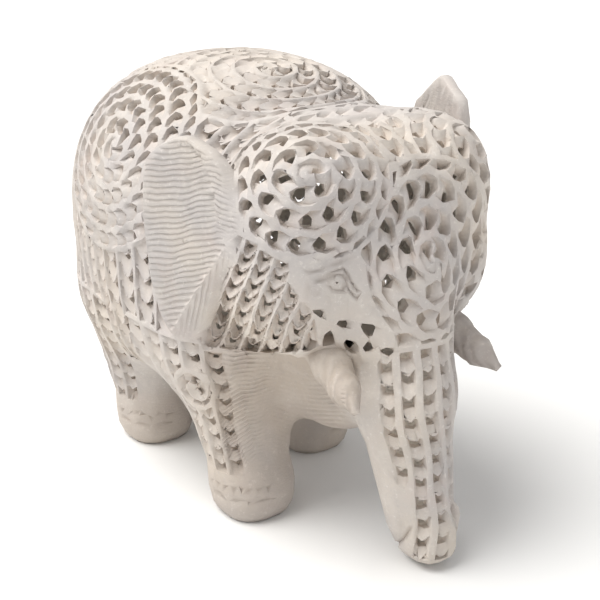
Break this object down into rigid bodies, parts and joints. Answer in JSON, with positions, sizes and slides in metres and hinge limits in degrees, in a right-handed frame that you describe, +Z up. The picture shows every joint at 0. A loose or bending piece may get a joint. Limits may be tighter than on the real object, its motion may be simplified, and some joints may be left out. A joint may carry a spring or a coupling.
{
  "type": "soapstone elephant sculpture",
  "caption": "Carved soapstone elephant in a slow walk, trunk down, hollow body pierced all over with a scale lattice, short tusks and fan ears.",
  "frame": {"origin": "centre of the bounding box's footprint, on the plane of the four soles", "axes": "+Z up, -Y the way the elephant faces, +X its left side"},
  "size_m": [0.1098, 0.1746, 0.1457],
  "materials": {
    "soapstone": "matte natural soapstone, cream with faint grey and rose mottling, hand-filed, unpolished"
  },
  "bodies": {
    "root": {"elephant": "soapstone"}
  },
  "joints": []
}
